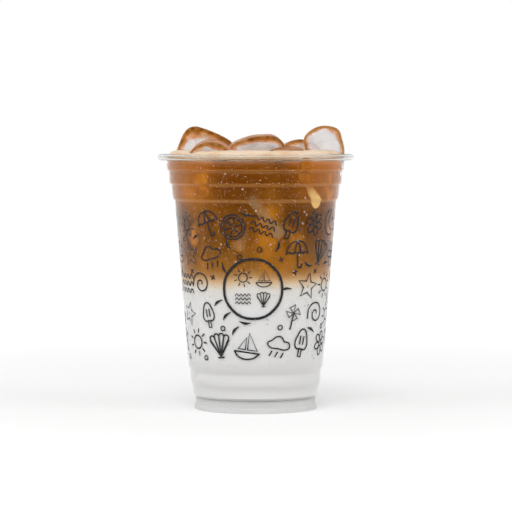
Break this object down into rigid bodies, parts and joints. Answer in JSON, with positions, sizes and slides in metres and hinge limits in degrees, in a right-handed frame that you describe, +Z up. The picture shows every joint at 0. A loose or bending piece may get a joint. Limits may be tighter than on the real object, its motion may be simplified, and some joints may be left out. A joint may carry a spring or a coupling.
{
  "type": "iced latte",
  "caption": "Clear takeaway cup filled to its rolled rim with layered iced latte: milk, a soft blend, coffee, foam and half-moon ice standing out of the top.",
  "frame": {"origin": "centre of the foot ring, on the surface the cup stands on", "axes": "+Z up along the cup's axis, -Y towards the front, +X to the right seen from the front"},
  "size_m": [0.095, 0.095, 0.1374],
  "materials": {
    "cup_plastic": "clear moulded plastic, glossy",
    "milk": "white milk seen through the wall",
    "blend": "milk and coffee mixing, pale tan",
    "coffee": "milky coffee, warm brown",
    "foam": "fine cream foam",
    "ice": "wet melting ice with a thin film of coffee",
    "ink": "printed line pattern",
    "water": "beads of condensation"
  },
  "bodies": {
    "root": {"cup": "cup_plastic", "milk": "milk", "blend": "blend", "coffee": "coffee", "foam": "foam", "ice_left": "ice", "ice_front_left": "ice", "ice_middle": "ice", "ice_right": "ice", "ice_front_right": "ice", "ice_back_right": "ice", "ice_back": "ice", "ice_back_left": "ice", "ice_core": "ice"}
  },
  "joints": []
}
